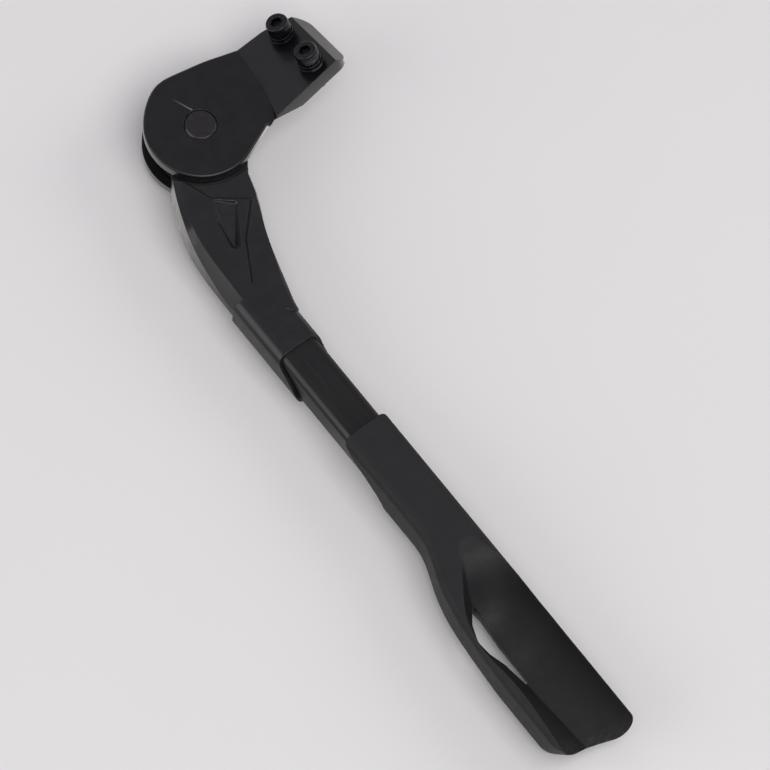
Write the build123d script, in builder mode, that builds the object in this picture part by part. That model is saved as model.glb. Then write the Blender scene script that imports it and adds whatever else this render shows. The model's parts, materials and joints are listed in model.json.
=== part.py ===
from build123d import *
from math import acos, atan2, cos, hypot, radians, sin, tan
import os

os.makedirs("parts", exist_ok=True)

# Rear kickstand for a bicycle, in millimetres. The origin is midway between the two mounting screws, on
# the face that meets the frame. +X runs forward from the pivot to the plate's end, +Y away from the wheel
# and +Z up. The leg stands down, as in use.

# How far cuts run past the faces they open, and the size of a cutter that clears the whole part
OVERSHOOT = 1.0
FAR = 60.0

# Mounting screws and washers
SCREW_SPACING = 18.0
SCREW_D = 5.0
SCREW_LENGTH = 16.0
HEAD_D = 8.5
HEAD_H = 5.0
HEAD_EDGE_R = 0.5
SCREW_TIP_CHAMFER = 0.5
HEX_FLATS = 4.0
HEX_DEPTH = 2.6
HEAD_STAND = 4.6
SPRING_WASHER_D = 9.0
SPRING_WASHER_T = 1.3
SPRING_WASHER_SPLIT = 0.9
SPRING_WASHER_SPLIT_DEG = -30.0
FLAT_WASHER_D = 10.0
FLAT_WASHER_T = 1.0
WASHER_BORE_D = 5.3
SCREW_HOLE_CLEARANCE = 0.05

# Plate of the bracket
PLATE_T = 6.0
PLATE_FRONT = 11.8
PLATE_BACK = -26.0
PLATE_TOP_FRONT = 13.2
PLATE_TOP_SHOULDER = (-4.0, 17.2)
PLATE_TOP_BACK = 17.6
PLATE_BOTTOM_FRONT = 13.4
PLATE_BOTTOM_BACK = 17.8
PLATE_CORNER_R = 5.0
PLATE_SHOULDER_R = 10.0
PLATE_SEAT_ARC = [(-17.6, 18.0), (-17.8, 1.0), (-22.6, -18.0)]
PLATE_BEVEL_RUN = 4.4
PLATE_BEVEL_DROP = 5.4

# Pivot: where the pin's middle is, and how the fork is turned away from the plate
PIVOT_X = -46.8
PIVOT_Y = 2.8
PIVOT_Z = -1.0
SPLAY_DEG = 20.0
TOE_DEG = 10.0
LEAN_DEG = 2.4

# Fork
CHEEK_R = 20.4
CHEEK_T = 4.0
FORK_GAP = 12.0
CHEEK_END_X = 29.4
CHEEK_END_Y = 3.0
CHEEK_TOP_CORNER = (29.2, 16.9)
CHEEK_BOTTOM_CORNER = (27.0, -9.6)
CHEEK_CORNER_R = 1.6
CHEEK_EDGE_R = 0.8
WEB_CLEARANCE = 0.8
STOP_GAP = 0.35
STOP_RELIEF = 12.0
STOP_RUNOUT = 6.0
GUSSET_BACK = 23.6
GUSSET_FRONT = -7.0
GUSSET_HALF_HEIGHT = 10.0
GUSSET_ROOT_T = 3.0

# Crown on the cheek's top: where it leaves the round, and its points as shares of the cheek's radius
CROWN_START_DEG = 145.0
CROWN = [(-0.48, 0.92), (-0.2, 1.06), (0.22, 1.055), (0.667, 0.995)]

# Relief under the fork and the neck: the draft behind the front cheek, and three points of the neck's plane
RELIEF_DRAFT_DEG = 17.0
NECK_RELIEF = [(-24.0, 0.5, -17.6), (-22.8, 6.0, -12.9), (-11.0, 6.0, -16.2)]

# Pivot pin, its ring and the washers beside the leg's eye
PIN_D = 12.0
PIN_PROUD = 0.4
PIN_TAIL_D = 9.0
PIN_TAIL_PROUD = 2.6
PIN_FLAT_DEPTH = 0.5
PIN_FLAT_MARGIN = 1.0
PIN_CHAMFER = 0.7
PIN_SEAT_CLEARANCE = 0.02
RUNNING_CLEARANCE = 0.04
FOLD_DEG = 95.0
CIRCLIP_D = 14.0
CIRCLIP_T = 1.0
CIRCLIP_GROOVE_D = 8.2
CIRCLIP_MOUTH = 5.0
CIRCLIP_CLEARANCE = 0.05
THRUST_D = 26.0
THRUST_T = 0.8
THRUST_CLEARANCE = 0.1

# Upper leg
EYE_R = 17.0
SHOULDER_CLEARANCE = 2.4
LEG_AXIS_X = -23.5
BLADE_BOTTOM = -76.0
BLADE_STEP = 1.7
BLADE_LAP = 2.0
BLADE_BACK_STEP = 0.2
BLADE_BACK_R = 3.0
BLADE_FRONT_R = 2.2

# Slopes cut in the blade's front: each row is a height, the crease's x and how far it lies below the front,
# then the same at the blade's side. A row above the front lets the slope run out.
FACET_ROWS = [
    (-6.0, -15.4, 0.0, -17.5, 0.5),
    (-17.0, -20.4, 0.0, -23.6, 0.6),
    (-27.0, -25.0, 0.0, -27.5, 0.9),
    (-38.0, -27.6, 0.0, -30.0, 4.5),
    (-48.0, -28.3, 0.0, -30.65, 8.2),
    (-62.0, -28.8, 0.0, -30.9, 9.6),
]
PANEL_ROWS = [
    (-27.0, 0.6, 0.0, 2.4, 0.5),
    (-33.1, -3.0, 0.0, 0.4, 0.7),
    (-37.7, -8.6, 0.0, -1.8, 1.0),
    (-44.5, -13.8, 0.0, -4.9, 1.3),
    (-52.5, -18.1, 0.0, -7.8, 1.1),
    (-58.7, -21.7, 0.0, -9.9, 0.6),
    (-68.0, -25.0, -0.8, -12.4, -0.6),
]
SLOPE_LAP = 0.2
SLOPE_REACH = 0.5
SLOPE_CLEAR = 4.0

# Step under the eye, and the pocket below it as corners of its flat floor with their depths
CREST_LINE = [(-18.6, -9.5), (-17.0, -14.6), (-13.6, -24.0), (-6.0, -29.6), (-2.6, -32.4), (9.0, -33.5)]
CREST_DEPTH = 0.8
CREST_SLOPE_DEG = 45.0
POCKET_FLOOR = [(-13.6, -25.8, 0.4), (-8.3, -30.9, 1.1), (-18.3, -44.2, 2.2), (-16.9, -33.5, 1.11)]
POCKET_SLOPE_DEG = 40.0
POCKET_R = 0.3
POCKET_CLEAR = 3.0

# Detent in the leg
DETENT_DEG = 24.0
PLUNGER_D = 6.4
PLUNGER_LENGTH = 7.0
PLUNGER_STEM_D = 3.2
PLUNGER_STEM_LENGTH = 4.5
PLUNGER_CLEARANCE = 0.05
PLUNGER_TIP_GAP = 0.12
SPRING_WIRE_D = 0.9
SPRING_WIRE_SIDES = 8
SPRING_TURNS = 5
SPRING_PITCH = 2.2

# Extension tube
TUBE_W = 15.5
TUBE_DEPTH = 15.0
TUBE_R = 3.5
TUBE_WALL = 2.0
TUBE_TOP = -64.0
TUBE_BOTTOM = -169.0

# Socket that takes the tube, and the grub screw at its back
SOCKET_WALL = 1.25
SOCKET_FIT = 0.05
SOCKET_TOP = -62.0
SOCKET_FLOOR_GAP = 0.3
SOCKET_END_FRONT = -87.2
SOCKET_END_BACK = -100.2
GRUB_Y = -79.0
GRUB_D = 5.0
GRUB_HEX_FLATS = 2.5
GRUB_HEX_DEPTH = 2.0
GRUB_BOSS_D = 11.0
GRUB_BOSS_H = 2.6

# Curve of the socket's and the foot's ends, as shares of their half depth and of their drop
END_BEND = 0.45
END_EASE = 0.15

# Foot, which slides on the tube, and the screw that sets its height
FOOT_WALL = 1.5
FOOT_FIT = 0.08
FOOT_TRAVEL = 7.0
FOOT_FLOOR_GAP = 0.5
FOOT_TOP_FRONT = -124.8
FOOT_TOP_BACK = -151.0
FOOT_EDGE_R = 3.5
FOOT_LEFT = -43.6
FOOT_LEFT_R = 11.0
FOOT_RIGHT_R = 6.5
FOOT_LEAN = 0.45

# Heights of the foot's flare and sole, midway between front and back, from the floor of its bore. The sole
# leans, so that its front reaches lower.
FLARE_TOP = 16.5
FLARE = [(-33.3, 5.5), (-37.8, -7.5), (-41.9, -26.5), (-43.4, -46.5)]
FLARE_BOTTOM = -68.5
SOLE_LEFT = -82.4
SOLE_RIGHT = -91.4

# Scoop in the foot's front: each row is a height from the bore's floor, the rim's x and depth, the
# valley's x and depth, and the floor's sag from the valley to the right rim, as a share of its width
SCOOP_ROWS = [
    (0.0, -25.8, 9.9, -24.0, 9.9, 0.01),
    (-7.0, -27.6, 8.8, -26.4, 8.3, 0.02),
    (-14.0, -31.2, 6.4, -29.6, 4.6, 0.06),
    (-21.5, -35.4, 3.0, -32.0, -2.0, 0.15),
    (-32.5, -38.7, 0.0, -33.6, -6.0, 0.2),
    (-45.5, -38.6, 0.0, -33.4, -6.5, 0.2),
    (-58.5, -38.0, 0.0, -32.7, -6.4, 0.2),
    (-71.5, -38.9, 0.0, -31.8, -6.2, 0.2),
    (-84.5, -40.0, 0.0, -31.0, -6.0, 0.2),
    (-97.5, -41.0, 0.0, -30.2, -5.8, 0.2),
    (-110.5, -42.0, 0.0, -29.4, -5.6, 0.2),
]
SCOOP_FRONT = 12.0
SCOOP_LEAN = 0.3
SCOOP_RIGHT_X = -13.0
SCOOP_RIGHT_Z = 9.8

# Slot beside the scoop, as x and height from the bore's floor
SLOT_CORNERS = [
    (-31.5, -20.0),
    (-36.6, -26.5),
    (-38.8, -32.5),
    (-37.8, -38.0),
    (-35.2, -43.5),
    (-33.2, -53.5),
    (-31.9, -52.5),
    (-31.8, -36.5),
    (-30.9, -24.5),
]
SLOT_R = 0.6

# Set screw and its threaded insert, in a boss at the foot's back
SET_SCREW_Y = -157.5
SET_SCREW_D = 5.0
SET_SCREW_HEX_FLATS = 2.5
SET_SCREW_HEX_DEPTH = 2.4
SET_SCREW_PROUD = 0.6
INSERT_D = 7.0
INSERT_CLEARANCE = 0.02
SET_BOSS_D = 11.0
SET_BOSS_H = 4.5

# Planes that the pieces are drawn on
splay, toe = radians(SPLAY_DEG), radians(TOE_DEG)
FORK = Plane(
    origin=(PIVOT_X, PIVOT_Y, PIVOT_Z),
    x_dir=(cos(toe), sin(toe), 0),
    z_dir=(sin(toe) * cos(splay), -cos(toe) * cos(splay), -sin(splay)),
)
MOUNTING_FACE = Plane(origin=(0, 0, 0), x_dir=(1, 0, 0), z_dir=(0, -1, 0))

half_gap = FORK_GAP / 2
fork_half = half_gap + CHEEK_T
eye_half = half_gap - THRUST_T - THRUST_CLEARANCE
tube_half = TUBE_DEPTH / 2
socket_w = TUBE_W + 2 * (SOCKET_WALL + SOCKET_FIT)
socket_depth = TUBE_DEPTH + 2 * (SOCKET_WALL + SOCKET_FIT)
socket_r = TUBE_R + SOCKET_WALL
leg_half = socket_depth / 2
foot_w = TUBE_W + 2 * (FOOT_WALL + FOOT_FIT)
foot_depth = TUBE_DEPTH + 2 * (FOOT_WALL + FOOT_FIT)
foot_half = foot_depth / 2
shoulder_r = CHEEK_R + SHOULDER_CLEARANCE


def turned(plane, angle):
    """The plane turned about its own normal by angle degrees."""
    x_dir = plane.x_dir.rotate(Axis((0, 0, 0), plane.z_dir), angle)
    return Plane(plane.origin, x_dir=x_dir, z_dir=plane.z_dir)


LEG = turned(FORK, LEAN_DEG)


def across_leg(y):
    """Plane square to the tube's axis at height y of the leg; its own y points at the viewer's side."""
    centre = LEG.from_local_coords((LEG_AXIS_X, y, 0))
    return Plane(origin=centre, x_dir=LEG.x_dir, z_dir=-LEG.y_dir)


def along_leg(x):
    """Plane along the leg, square to its front face, at sideways place x; its own x is the leg's z."""
    return Plane(origin=LEG.from_local_coords((x, 0, 0)), x_dir=LEG.z_dir, z_dir=-LEG.x_dir)


def tangent_point(point, radius, side):
    """Where a line from point touches the circle about the pin; side +1 is counter-clockwise of it."""
    angle = atan2(point[1], point[0]) + side * acos(radius / hypot(*point))
    return (radius * cos(angle), radius * sin(angle))


def beyond_end(front, back, half, side):
    """Sketch of all that lies past a sleeve's curved end, at height front on its front and back behind.

    half is half the sleeve's depth. side -1 is below the end, +1 above it.
    """
    drop = back - front
    past = front + 2 * abs(drop) * side
    with BuildSketch(along_leg(LEG_AXIS_X)) as area:
        with BuildLine():
            curve = Spline(
                (half, front),
                (END_BEND * half, front + END_EASE * drop),
                (-END_BEND * half, back - END_EASE * drop),
                (-half, back),
            )
            Polyline(
                curve @ 1,
                (-half - OVERSHOOT, back),
                (-half - OVERSHOOT, past),
                (half + OVERSHOOT, past),
                (half + OVERSHOOT, front),
                curve @ 0,
            )
        make_face()
    return area.sketch


def above_slope(height, crease_x, crease_drop, side_x, side_drop):
    """Section across the leg of all that lies above a slope from a crease to the blade's side."""
    crease = (crease_x - LEG_AXIS_X, leg_half - crease_drop)
    run, fall = side_x - crease_x, crease_drop - side_drop
    inner = (crease[0] - SLOPE_LAP * run, crease[1] - SLOPE_LAP * fall)
    outer = (crease[0] + (1 + SLOPE_REACH) * run, crease[1] + (1 + SLOPE_REACH) * fall)
    top = leg_half + SLOPE_CLEAR
    with BuildSketch(across_leg(height)) as area:
        with BuildLine():
            Polyline(inner, outer, (outer[0], top), (inner[0], top), close=True)
        make_face()
    return area.sketch


# Leg outline in the leg's plane, left and right edges from top to bottom
stop_tip = (3.6, -23.2)
stop_root = tangent_point(stop_tip, EYE_R, 1)
leg_left = [(-14.0, -1.0), (-19.5, -9.3), (-22.5, -14.6), (-26.7, -24.3), (-29.5, -34.4), (-30.6, -46.0)]
leg_right = [stop_tip, (0.4, -33.0), (-4.0, -42.3), (-8.7, -55.0), (-13.0, -69.5)]
socket_left = LEG_AXIS_X - socket_w / 2
socket_right = LEG_AXIS_X + socket_w / 2

# Bracket: fork, web and plate in one casting
with BuildPart() as bracket:
    crown_start = Vector(CHEEK_R, 0).rotate(Axis.Z, CROWN_START_DEG)
    crown_tangent = crown_start.rotate(Axis.Z, -90)
    bottom_touch = tangent_point(CHEEK_BOTTOM_CORNER, CHEEK_R, -1)
    with BuildSketch(FORK.offset(-fork_half)) as cheek_outline:
        with BuildLine():
            crown_points = [(share_x * CHEEK_R, share_y * CHEEK_R) for share_x, share_y in CROWN]
            crown_run = Vector(*CHEEK_TOP_CORNER) - Vector(*crown_points[-1])
            Spline(crown_start, *crown_points, CHEEK_TOP_CORNER, tangents=[crown_tangent, crown_run])
            ThreePointArc(CHEEK_TOP_CORNER, (CHEEK_END_X, CHEEK_END_Y), CHEEK_BOTTOM_CORNER)
            Line(CHEEK_BOTTOM_CORNER, bottom_touch)
            ThreePointArc(bottom_touch, (-CHEEK_R, 0), crown_start)
        make_face()
        corners = cheek_outline.vertices().sort_by(Axis.X)[-2:]
        fillet(corners, CHEEK_CORNER_R)
    extrude(amount=2 * fork_half)
    with BuildSketch(LEG.offset(-half_gap)):
        Circle(EYE_R + WEB_CLEARANCE)
        with BuildLine():
            Polyline(
                (-FAR, FAR),
                (stop_root[0] - STOP_RELIEF, FAR),
                (stop_root[0] - STOP_RELIEF, 0),
                (stop_root[0] + STOP_GAP, stop_root[1]),
                (stop_tip[0] + STOP_GAP, stop_tip[1]),
                (stop_tip[0] - STOP_RUNOUT, -FAR),
                (-FAR, -FAR),
                close=True,
            )
        make_face()
    extrude(amount=FORK_GAP, mode=Mode.SUBTRACT)
    casting_edges = bracket.faces().sort_by(Axis(FORK.origin, FORK.z_dir))
    fillet(casting_edges[-1].outer_wire().edges(), CHEEK_EDGE_R)
    fillet(bracket.faces().sort_by(Axis(FORK.origin, FORK.z_dir))[0].outer_wire().edges(), CHEEK_EDGE_R)
    with BuildSketch(MOUNTING_FACE):
        with BuildLine():
            seat_wall = ThreePointArc(*PLATE_SEAT_ARC)
            Polyline(seat_wall @ 1, (0, -CHEEK_R), (0, CHEEK_R), seat_wall @ 0)
        make_face()
    extrude(amount=fork_half + CHEEK_R, mode=Mode.SUBTRACT)
    with BuildSketch(MOUNTING_FACE) as plate_outline:
        with BuildLine():
            Polyline(
                (PLATE_BACK, PLATE_TOP_BACK),
                PLATE_TOP_SHOULDER,
                (PLATE_FRONT, PLATE_TOP_FRONT),
                (PLATE_FRONT, -PLATE_BOTTOM_FRONT),
                (PLATE_BACK, -PLATE_BOTTOM_BACK),
                close=True,
            )
        make_face()
        fillet(plate_outline.vertices().sort_by_distance((*PLATE_TOP_SHOULDER, 0))[0], PLATE_SHOULDER_R)
        fillet(plate_outline.vertices().sort_by(Axis.X)[-2:], PLATE_CORNER_R)
    extrude(amount=-PLATE_T)
    with BuildPart(mode=Mode.PRIVATE) as neck_front:
        with BuildSketch(MOUNTING_FACE):
            with BuildLine():
                seat_wall = ThreePointArc(*PLATE_SEAT_ARC)
                Polyline(seat_wall @ 1, (-FAR, -FAR), (-FAR, FAR), seat_wall @ 0)
            make_face()
        extrude(amount=FAR, both=True)
        with BuildSketch(FORK.offset(fork_half)):
            Rectangle(4 * FAR, 4 * FAR)
        extrude(amount=FAR, mode=Mode.INTERSECT)
    add(neck_front.part, mode=Mode.SUBTRACT)
    bevel_start = PLATE_FRONT - PLATE_BEVEL_RUN
    with BuildSketch(Plane.XY):
        with BuildLine():
            Polyline(
                (bevel_start, 0),
                (PLATE_FRONT, PLATE_BEVEL_DROP),
                (PLATE_FRONT + OVERSHOOT, PLATE_BEVEL_DROP),
                (PLATE_FRONT + OVERSHOOT, -OVERSHOOT),
                (bevel_start, -OVERSHOOT),
                close=True,
            )
        make_face()
    extrude(amount=PLATE_TOP_BACK, both=True, mode=Mode.SUBTRACT)
    gusset_start = FORK.from_local_coords((GUSSET_BACK, 0, (CHEEK_EDGE_R - fork_half) / 2))
    with BuildSketch(Plane(gusset_start, x_dir=FORK.y_dir, z_dir=FORK.x_dir)):
        Rectangle(2 * GUSSET_HALF_HEIGHT, fork_half - CHEEK_EDGE_R)
    gusset_root = (GUSSET_FRONT, PLATE_T - GUSSET_ROOT_T / 2, 0)
    with BuildSketch(Plane(gusset_root, x_dir=(0, 0, 1), z_dir=(1, 0, 0))):
        Rectangle(2 * GUSSET_HALF_HEIGHT, GUSSET_ROOT_T)
    loft()
    lower_edge = (Vector(*CHEEK_BOTTOM_CORNER) - Vector(*bottom_touch)).normalized()
    draft = radians(RELIEF_DRAFT_DEG)
    outward = FORK.x_dir * lower_edge.Y - FORK.y_dir * lower_edge.X
    fork_relief = Plane(
        FORK.from_local_coords((*CHEEK_BOTTOM_CORNER, half_gap)),
        x_dir=FORK.x_dir * lower_edge.X + FORK.y_dir * lower_edge.Y,
        z_dir=outward * cos(draft) - FORK.z_dir * sin(draft),
    )
    neck_start, neck_back, neck_end = (Vector(*point) for point in NECK_RELIEF)
    neck_run = neck_end - neck_start
    neck_relief = Plane(neck_start, x_dir=neck_run, z_dir=(neck_back - neck_start).cross(neck_run))
    with BuildPart(mode=Mode.PRIVATE) as relief:
        with BuildSketch(fork_relief):
            Rectangle(2 * FAR, 2 * FAR)
        extrude(amount=FAR)
        with BuildSketch(neck_relief):
            Rectangle(2 * FAR, 2 * FAR)
        extrude(amount=FAR, mode=Mode.INTERSECT)
    add(relief.part, mode=Mode.SUBTRACT)
    with Locations(MOUNTING_FACE):
        with GridLocations(0, SCREW_SPACING, 1, 2):
            Hole(SCREW_D / 2 + SCREW_HOLE_CLEARANCE)
    with BuildSketch(FORK):
        Circle(PIN_D / 2 + PIN_SEAT_CLEARANCE)
    extrude(amount=fork_half + OVERSHOOT, mode=Mode.SUBTRACT)
    with BuildSketch(FORK):
        Circle(PIN_TAIL_D / 2 + PIN_SEAT_CLEARANCE)
    extrude(amount=-fork_half - OVERSHOOT, mode=Mode.SUBTRACT)
bracket.part.label = "bracket"
export_step(bracket.part, "parts/bracket.step")

# Mounting screws, one socket cap screw at each hole
head_base = MOUNTING_FACE.offset(HEAD_STAND)
with BuildPart() as mounting_screws:
    with BuildSketch(head_base):
        with GridLocations(0, SCREW_SPACING, 1, 2):
            Circle(HEAD_D / 2)
    extrude(amount=HEAD_H)
    top_edges = mounting_screws.edges().group_by(Axis.Y)[0]
    fillet(top_edges, HEAD_EDGE_R)
    with BuildSketch(head_base):
        with GridLocations(0, SCREW_SPACING, 1, 2):
            Circle(SCREW_D / 2)
    extrude(amount=-SCREW_LENGTH)
    chamfer(mounting_screws.edges().group_by(Axis.Y)[-1], SCREW_TIP_CHAMFER)
    with BuildSketch(head_base.offset(HEAD_H)):
        with GridLocations(0, SCREW_SPACING, 1, 2):
            RegularPolygon(HEX_FLATS / 2, 6, major_radius=False)
    extrude(amount=-HEX_DEPTH, mode=Mode.SUBTRACT)
mounting_screws.part.label = "mounting_screws"
export_step(mounting_screws.part, "parts/mounting_screws.step")

# Split spring washers under the screw heads
with BuildPart() as spring_washers:
    with BuildSketch(head_base):
        with GridLocations(0, SCREW_SPACING, 1, 2):
            Circle(SPRING_WASHER_D / 2)
            Circle(WASHER_BORE_D / 2, mode=Mode.SUBTRACT)
            with Locations(((SPRING_WASHER_D + WASHER_BORE_D) / 4, 0)):
                Rectangle(
                    SPRING_WASHER_D / 2,
                    SPRING_WASHER_SPLIT,
                    rotation=SPRING_WASHER_SPLIT_DEG,
                    mode=Mode.SUBTRACT,
                )
    extrude(amount=-SPRING_WASHER_T)
spring_washers.part.label = "spring_washers"
export_step(spring_washers.part, "parts/spring_washers.step")

# Flat washers
with BuildPart() as flat_washers:
    with BuildSketch(head_base.offset(-SPRING_WASHER_T)):
        with GridLocations(0, SCREW_SPACING, 1, 2):
            Circle(FLAT_WASHER_D / 2)
            Circle(WASHER_BORE_D / 2, mode=Mode.SUBTRACT)
    extrude(amount=-FLAT_WASHER_T)
flat_washers.part.label = "flat_washers"
export_step(flat_washers.part, "parts/flat_washers.step")

# Pivot pin: stepped, with a ring groove at the rear and two detent flats
groove_z = -fork_half
with BuildPart() as pivot_pin:
    with BuildSketch(FORK.offset(-half_gap)):
        Circle(PIN_D / 2)
    extrude(amount=half_gap + fork_half + PIN_PROUD)
    chamfer(pivot_pin.faces().sort_by(Axis(FORK.origin, FORK.z_dir))[-1].edges(), PIN_CHAMFER)
    with BuildSketch(FORK.offset(-half_gap)):
        Circle(PIN_TAIL_D / 2)
    extrude(amount=-CHEEK_T - PIN_TAIL_PROUD)
    chamfer(pivot_pin.faces().sort_by(Axis(FORK.origin, FORK.z_dir))[0].edges(), PIN_CHAMFER)
    with BuildSketch(FORK.offset(groove_z)):
        Circle(PIN_TAIL_D / 2)
        Circle(CIRCLIP_GROOVE_D / 2, mode=Mode.SUBTRACT)
    extrude(amount=-CIRCLIP_T - CIRCLIP_CLEARANCE, mode=Mode.SUBTRACT)
    for fold in (0, -FOLD_DEG):
        detent_line = turned(LEG, fold - DETENT_DEG)
        with BuildSketch(Plane(LEG.origin, x_dir=LEG.z_dir, z_dir=-detent_line.y_dir).offset(PIN_D)):
            Rectangle(PLUNGER_D + PIN_FLAT_MARGIN, PIN_D)
        extrude(amount=-PIN_D / 2 - PIN_FLAT_DEPTH, mode=Mode.SUBTRACT)
pivot_pin.part.label = "pivot_pin"
export_step(pivot_pin.part, "parts/pivot_pin.step")

# Ring that keeps the pin in
with BuildPart() as pin_circlip:
    with BuildSketch(FORK.offset(groove_z)):
        Circle(CIRCLIP_D / 2)
        Circle(CIRCLIP_GROOVE_D / 2 + CIRCLIP_CLEARANCE, mode=Mode.SUBTRACT)
        with Locations((0, -CIRCLIP_D / 2)):
            Rectangle(CIRCLIP_MOUTH, CIRCLIP_D, mode=Mode.SUBTRACT)
    extrude(amount=-CIRCLIP_T)
pin_circlip.part.label = "pin_circlip"
export_step(pin_circlip.part, "parts/pin_circlip.step")


def thrust_washer(level):
    """Thin washer on the fork's inner face, from level outward by its thickness."""
    with BuildPart() as washer:
        with BuildSketch(FORK.offset(level)):
            Circle(THRUST_D / 2)
            Circle(PIN_D / 2 + RUNNING_CLEARANCE, mode=Mode.SUBTRACT)
        extrude(amount=THRUST_T)
    return washer.part


# Thrust washers beside the leg's eye
for name, level in (("front_thrust_washer", half_gap - THRUST_T), ("rear_thrust_washer", -half_gap)):
    washer = thrust_washer(level)
    washer.label = name
    export_step(washer, f"parts/{name}.step")

# Upper leg: eye between the cheeks, sculpted blade and tube socket in one casting
detent_axis = Plane(LEG.origin, x_dir=LEG.z_dir, z_dir=-turned(LEG, -DETENT_DEG).y_dir)
detent_floor = PIN_D / 2 + PLUNGER_TIP_GAP + PLUNGER_LENGTH + SPRING_TURNS * SPRING_PITCH + SPRING_WIRE_D
socket_floor = TUBE_TOP + SOCKET_FLOOR_GAP
with BuildPart() as upper_leg:
    with BuildSketch(LEG.offset(BLADE_BACK_STEP - leg_half)):
        with BuildLine():
            left_base = (socket_left + BLADE_STEP, SOCKET_TOP)
            left_edge = Spline(*leg_left, left_base, tangents=[(-1, -2), (0, -1)])
            right_edge = Spline(*leg_right, (socket_right, BLADE_BOTTOM), tangents=[(-1, -3), (-1, -8)])
            Polyline(left_edge @ 0, (0, EYE_R - BLADE_LAP), stop_root, right_edge @ 0)
            Polyline(
                right_edge @ 1,
                (socket_right - BLADE_LAP, BLADE_BOTTOM),
                (socket_left + 2 * BLADE_LAP, SOCKET_TOP),
                left_edge @ 1,
            )
        make_face()
    extrude(amount=2 * leg_half - BLADE_BACK_STEP)
    blade_edges = upper_leg.edges().filter_by(GeomType.BSPLINE).sort_by(Axis(LEG.origin, LEG.z_dir))
    fillet(blade_edges[:2], BLADE_BACK_R)
    front_face = upper_leg.faces().sort_by(Axis(LEG.origin, LEG.z_dir))[-1]
    blade_edges = front_face.edges().filter_by(GeomType.BSPLINE).sort_by(Axis(LEG.origin, LEG.x_dir))
    fillet(blade_edges[-1], BLADE_FRONT_R)
    loft([above_slope(*row) for row in FACET_ROWS], mode=Mode.SUBTRACT)
    loft([above_slope(*row) for row in PANEL_ROWS], mode=Mode.SUBTRACT)
    with BuildSketch(LEG.offset(leg_half - CREST_DEPTH)):
        with BuildLine():
            Polyline(*CREST_LINE, (CREST_LINE[-1][0], 0), (CREST_LINE[0][0], 0), close=True)
        make_face()
    extrude(amount=CREST_DEPTH + OVERSHOOT, taper=-CREST_SLOPE_DEG, mode=Mode.SUBTRACT)
    pocket_floor = [LEG.from_local_coords((x, y, leg_half - depth)) for x, y, depth in POCKET_FLOOR]
    pocket_run = pocket_floor[1] - pocket_floor[0]
    pocket_plane = Plane(
        pocket_floor[0],
        x_dir=pocket_run,
        z_dir=(pocket_floor[2] - pocket_floor[0]).cross(pocket_run),
    )
    with BuildSketch(pocket_plane) as pocket:
        with BuildLine():
            corners = [pocket_plane.to_local_coords(corner) for corner in pocket_floor]
            Polyline(*[(corner.X, corner.Y) for corner in corners], close=True)
        make_face()
        fillet(pocket.vertices(), POCKET_R)
    extrude(amount=POCKET_CLEAR, taper=-POCKET_SLOPE_DEG, mode=Mode.SUBTRACT)
    for level, reach in ((eye_half, leg_half), (-eye_half, -leg_half)):
        with BuildSketch(LEG.offset(level)):
            Circle(shoulder_r)
        extrude(amount=reach, mode=Mode.SUBTRACT)
    with BuildSketch(LEG.offset(-eye_half)):
        Circle(EYE_R)
    extrude(amount=2 * eye_half)
    with BuildSketch(across_leg(SOCKET_TOP)):
        RectangleRounded(socket_w, socket_depth, socket_r)
    extrude(amount=SOCKET_TOP - SOCKET_END_BACK)
    below_socket = beyond_end(SOCKET_END_FRONT, SOCKET_END_BACK, socket_depth / 2, -1)
    extrude(below_socket, amount=socket_w, both=True, mode=Mode.SUBTRACT)
    grub_axis = Plane(LEG.from_local_coords((LEG_AXIS_X, GRUB_Y, 0)), x_dir=LEG.x_dir, z_dir=-LEG.z_dir)
    with BuildSketch(grub_axis.offset(tube_half + SOCKET_FIT)):
        Circle(GRUB_BOSS_D / 2)
    extrude(amount=SOCKET_WALL + GRUB_BOSS_H)
    with BuildSketch(grub_axis):
        Circle(GRUB_D / 2 + SCREW_HOLE_CLEARANCE)
    extrude(amount=socket_depth / 2 + GRUB_BOSS_H + OVERSHOOT, mode=Mode.SUBTRACT)
    with BuildSketch(across_leg(socket_floor)):
        RectangleRounded(TUBE_W + 2 * SOCKET_FIT, TUBE_DEPTH + 2 * SOCKET_FIT, TUBE_R + SOCKET_FIT)
    extrude(amount=socket_floor - SOCKET_END_BACK + OVERSHOOT, mode=Mode.SUBTRACT)
    with BuildSketch(LEG):
        Circle(PIN_D / 2 + RUNNING_CLEARANCE)
    extrude(amount=leg_half, both=True, mode=Mode.SUBTRACT)
    with BuildSketch(detent_axis.offset(-EYE_R - OVERSHOOT)):
        Circle(PLUNGER_D / 2 + PLUNGER_CLEARANCE)
    extrude(amount=EYE_R + OVERSHOOT + detent_floor, mode=Mode.SUBTRACT)
upper_leg.part.label = "upper_leg"
export_step(upper_leg.part, "parts/upper_leg.step")

# Detent plunger, with a stem that guides its spring
with BuildPart() as detent_plunger:
    with BuildSketch(detent_axis.offset(PIN_D / 2 + PLUNGER_TIP_GAP)):
        Circle(PLUNGER_D / 2)
    extrude(amount=PLUNGER_LENGTH)
    with BuildSketch(detent_axis.offset(PIN_D / 2 + PLUNGER_TIP_GAP + PLUNGER_LENGTH)):
        Circle(PLUNGER_STEM_D / 2)
    extrude(amount=PLUNGER_STEM_LENGTH)
detent_plunger.part.label = "detent_plunger"
export_step(detent_plunger.part, "parts/detent_plunger.step")

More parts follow.
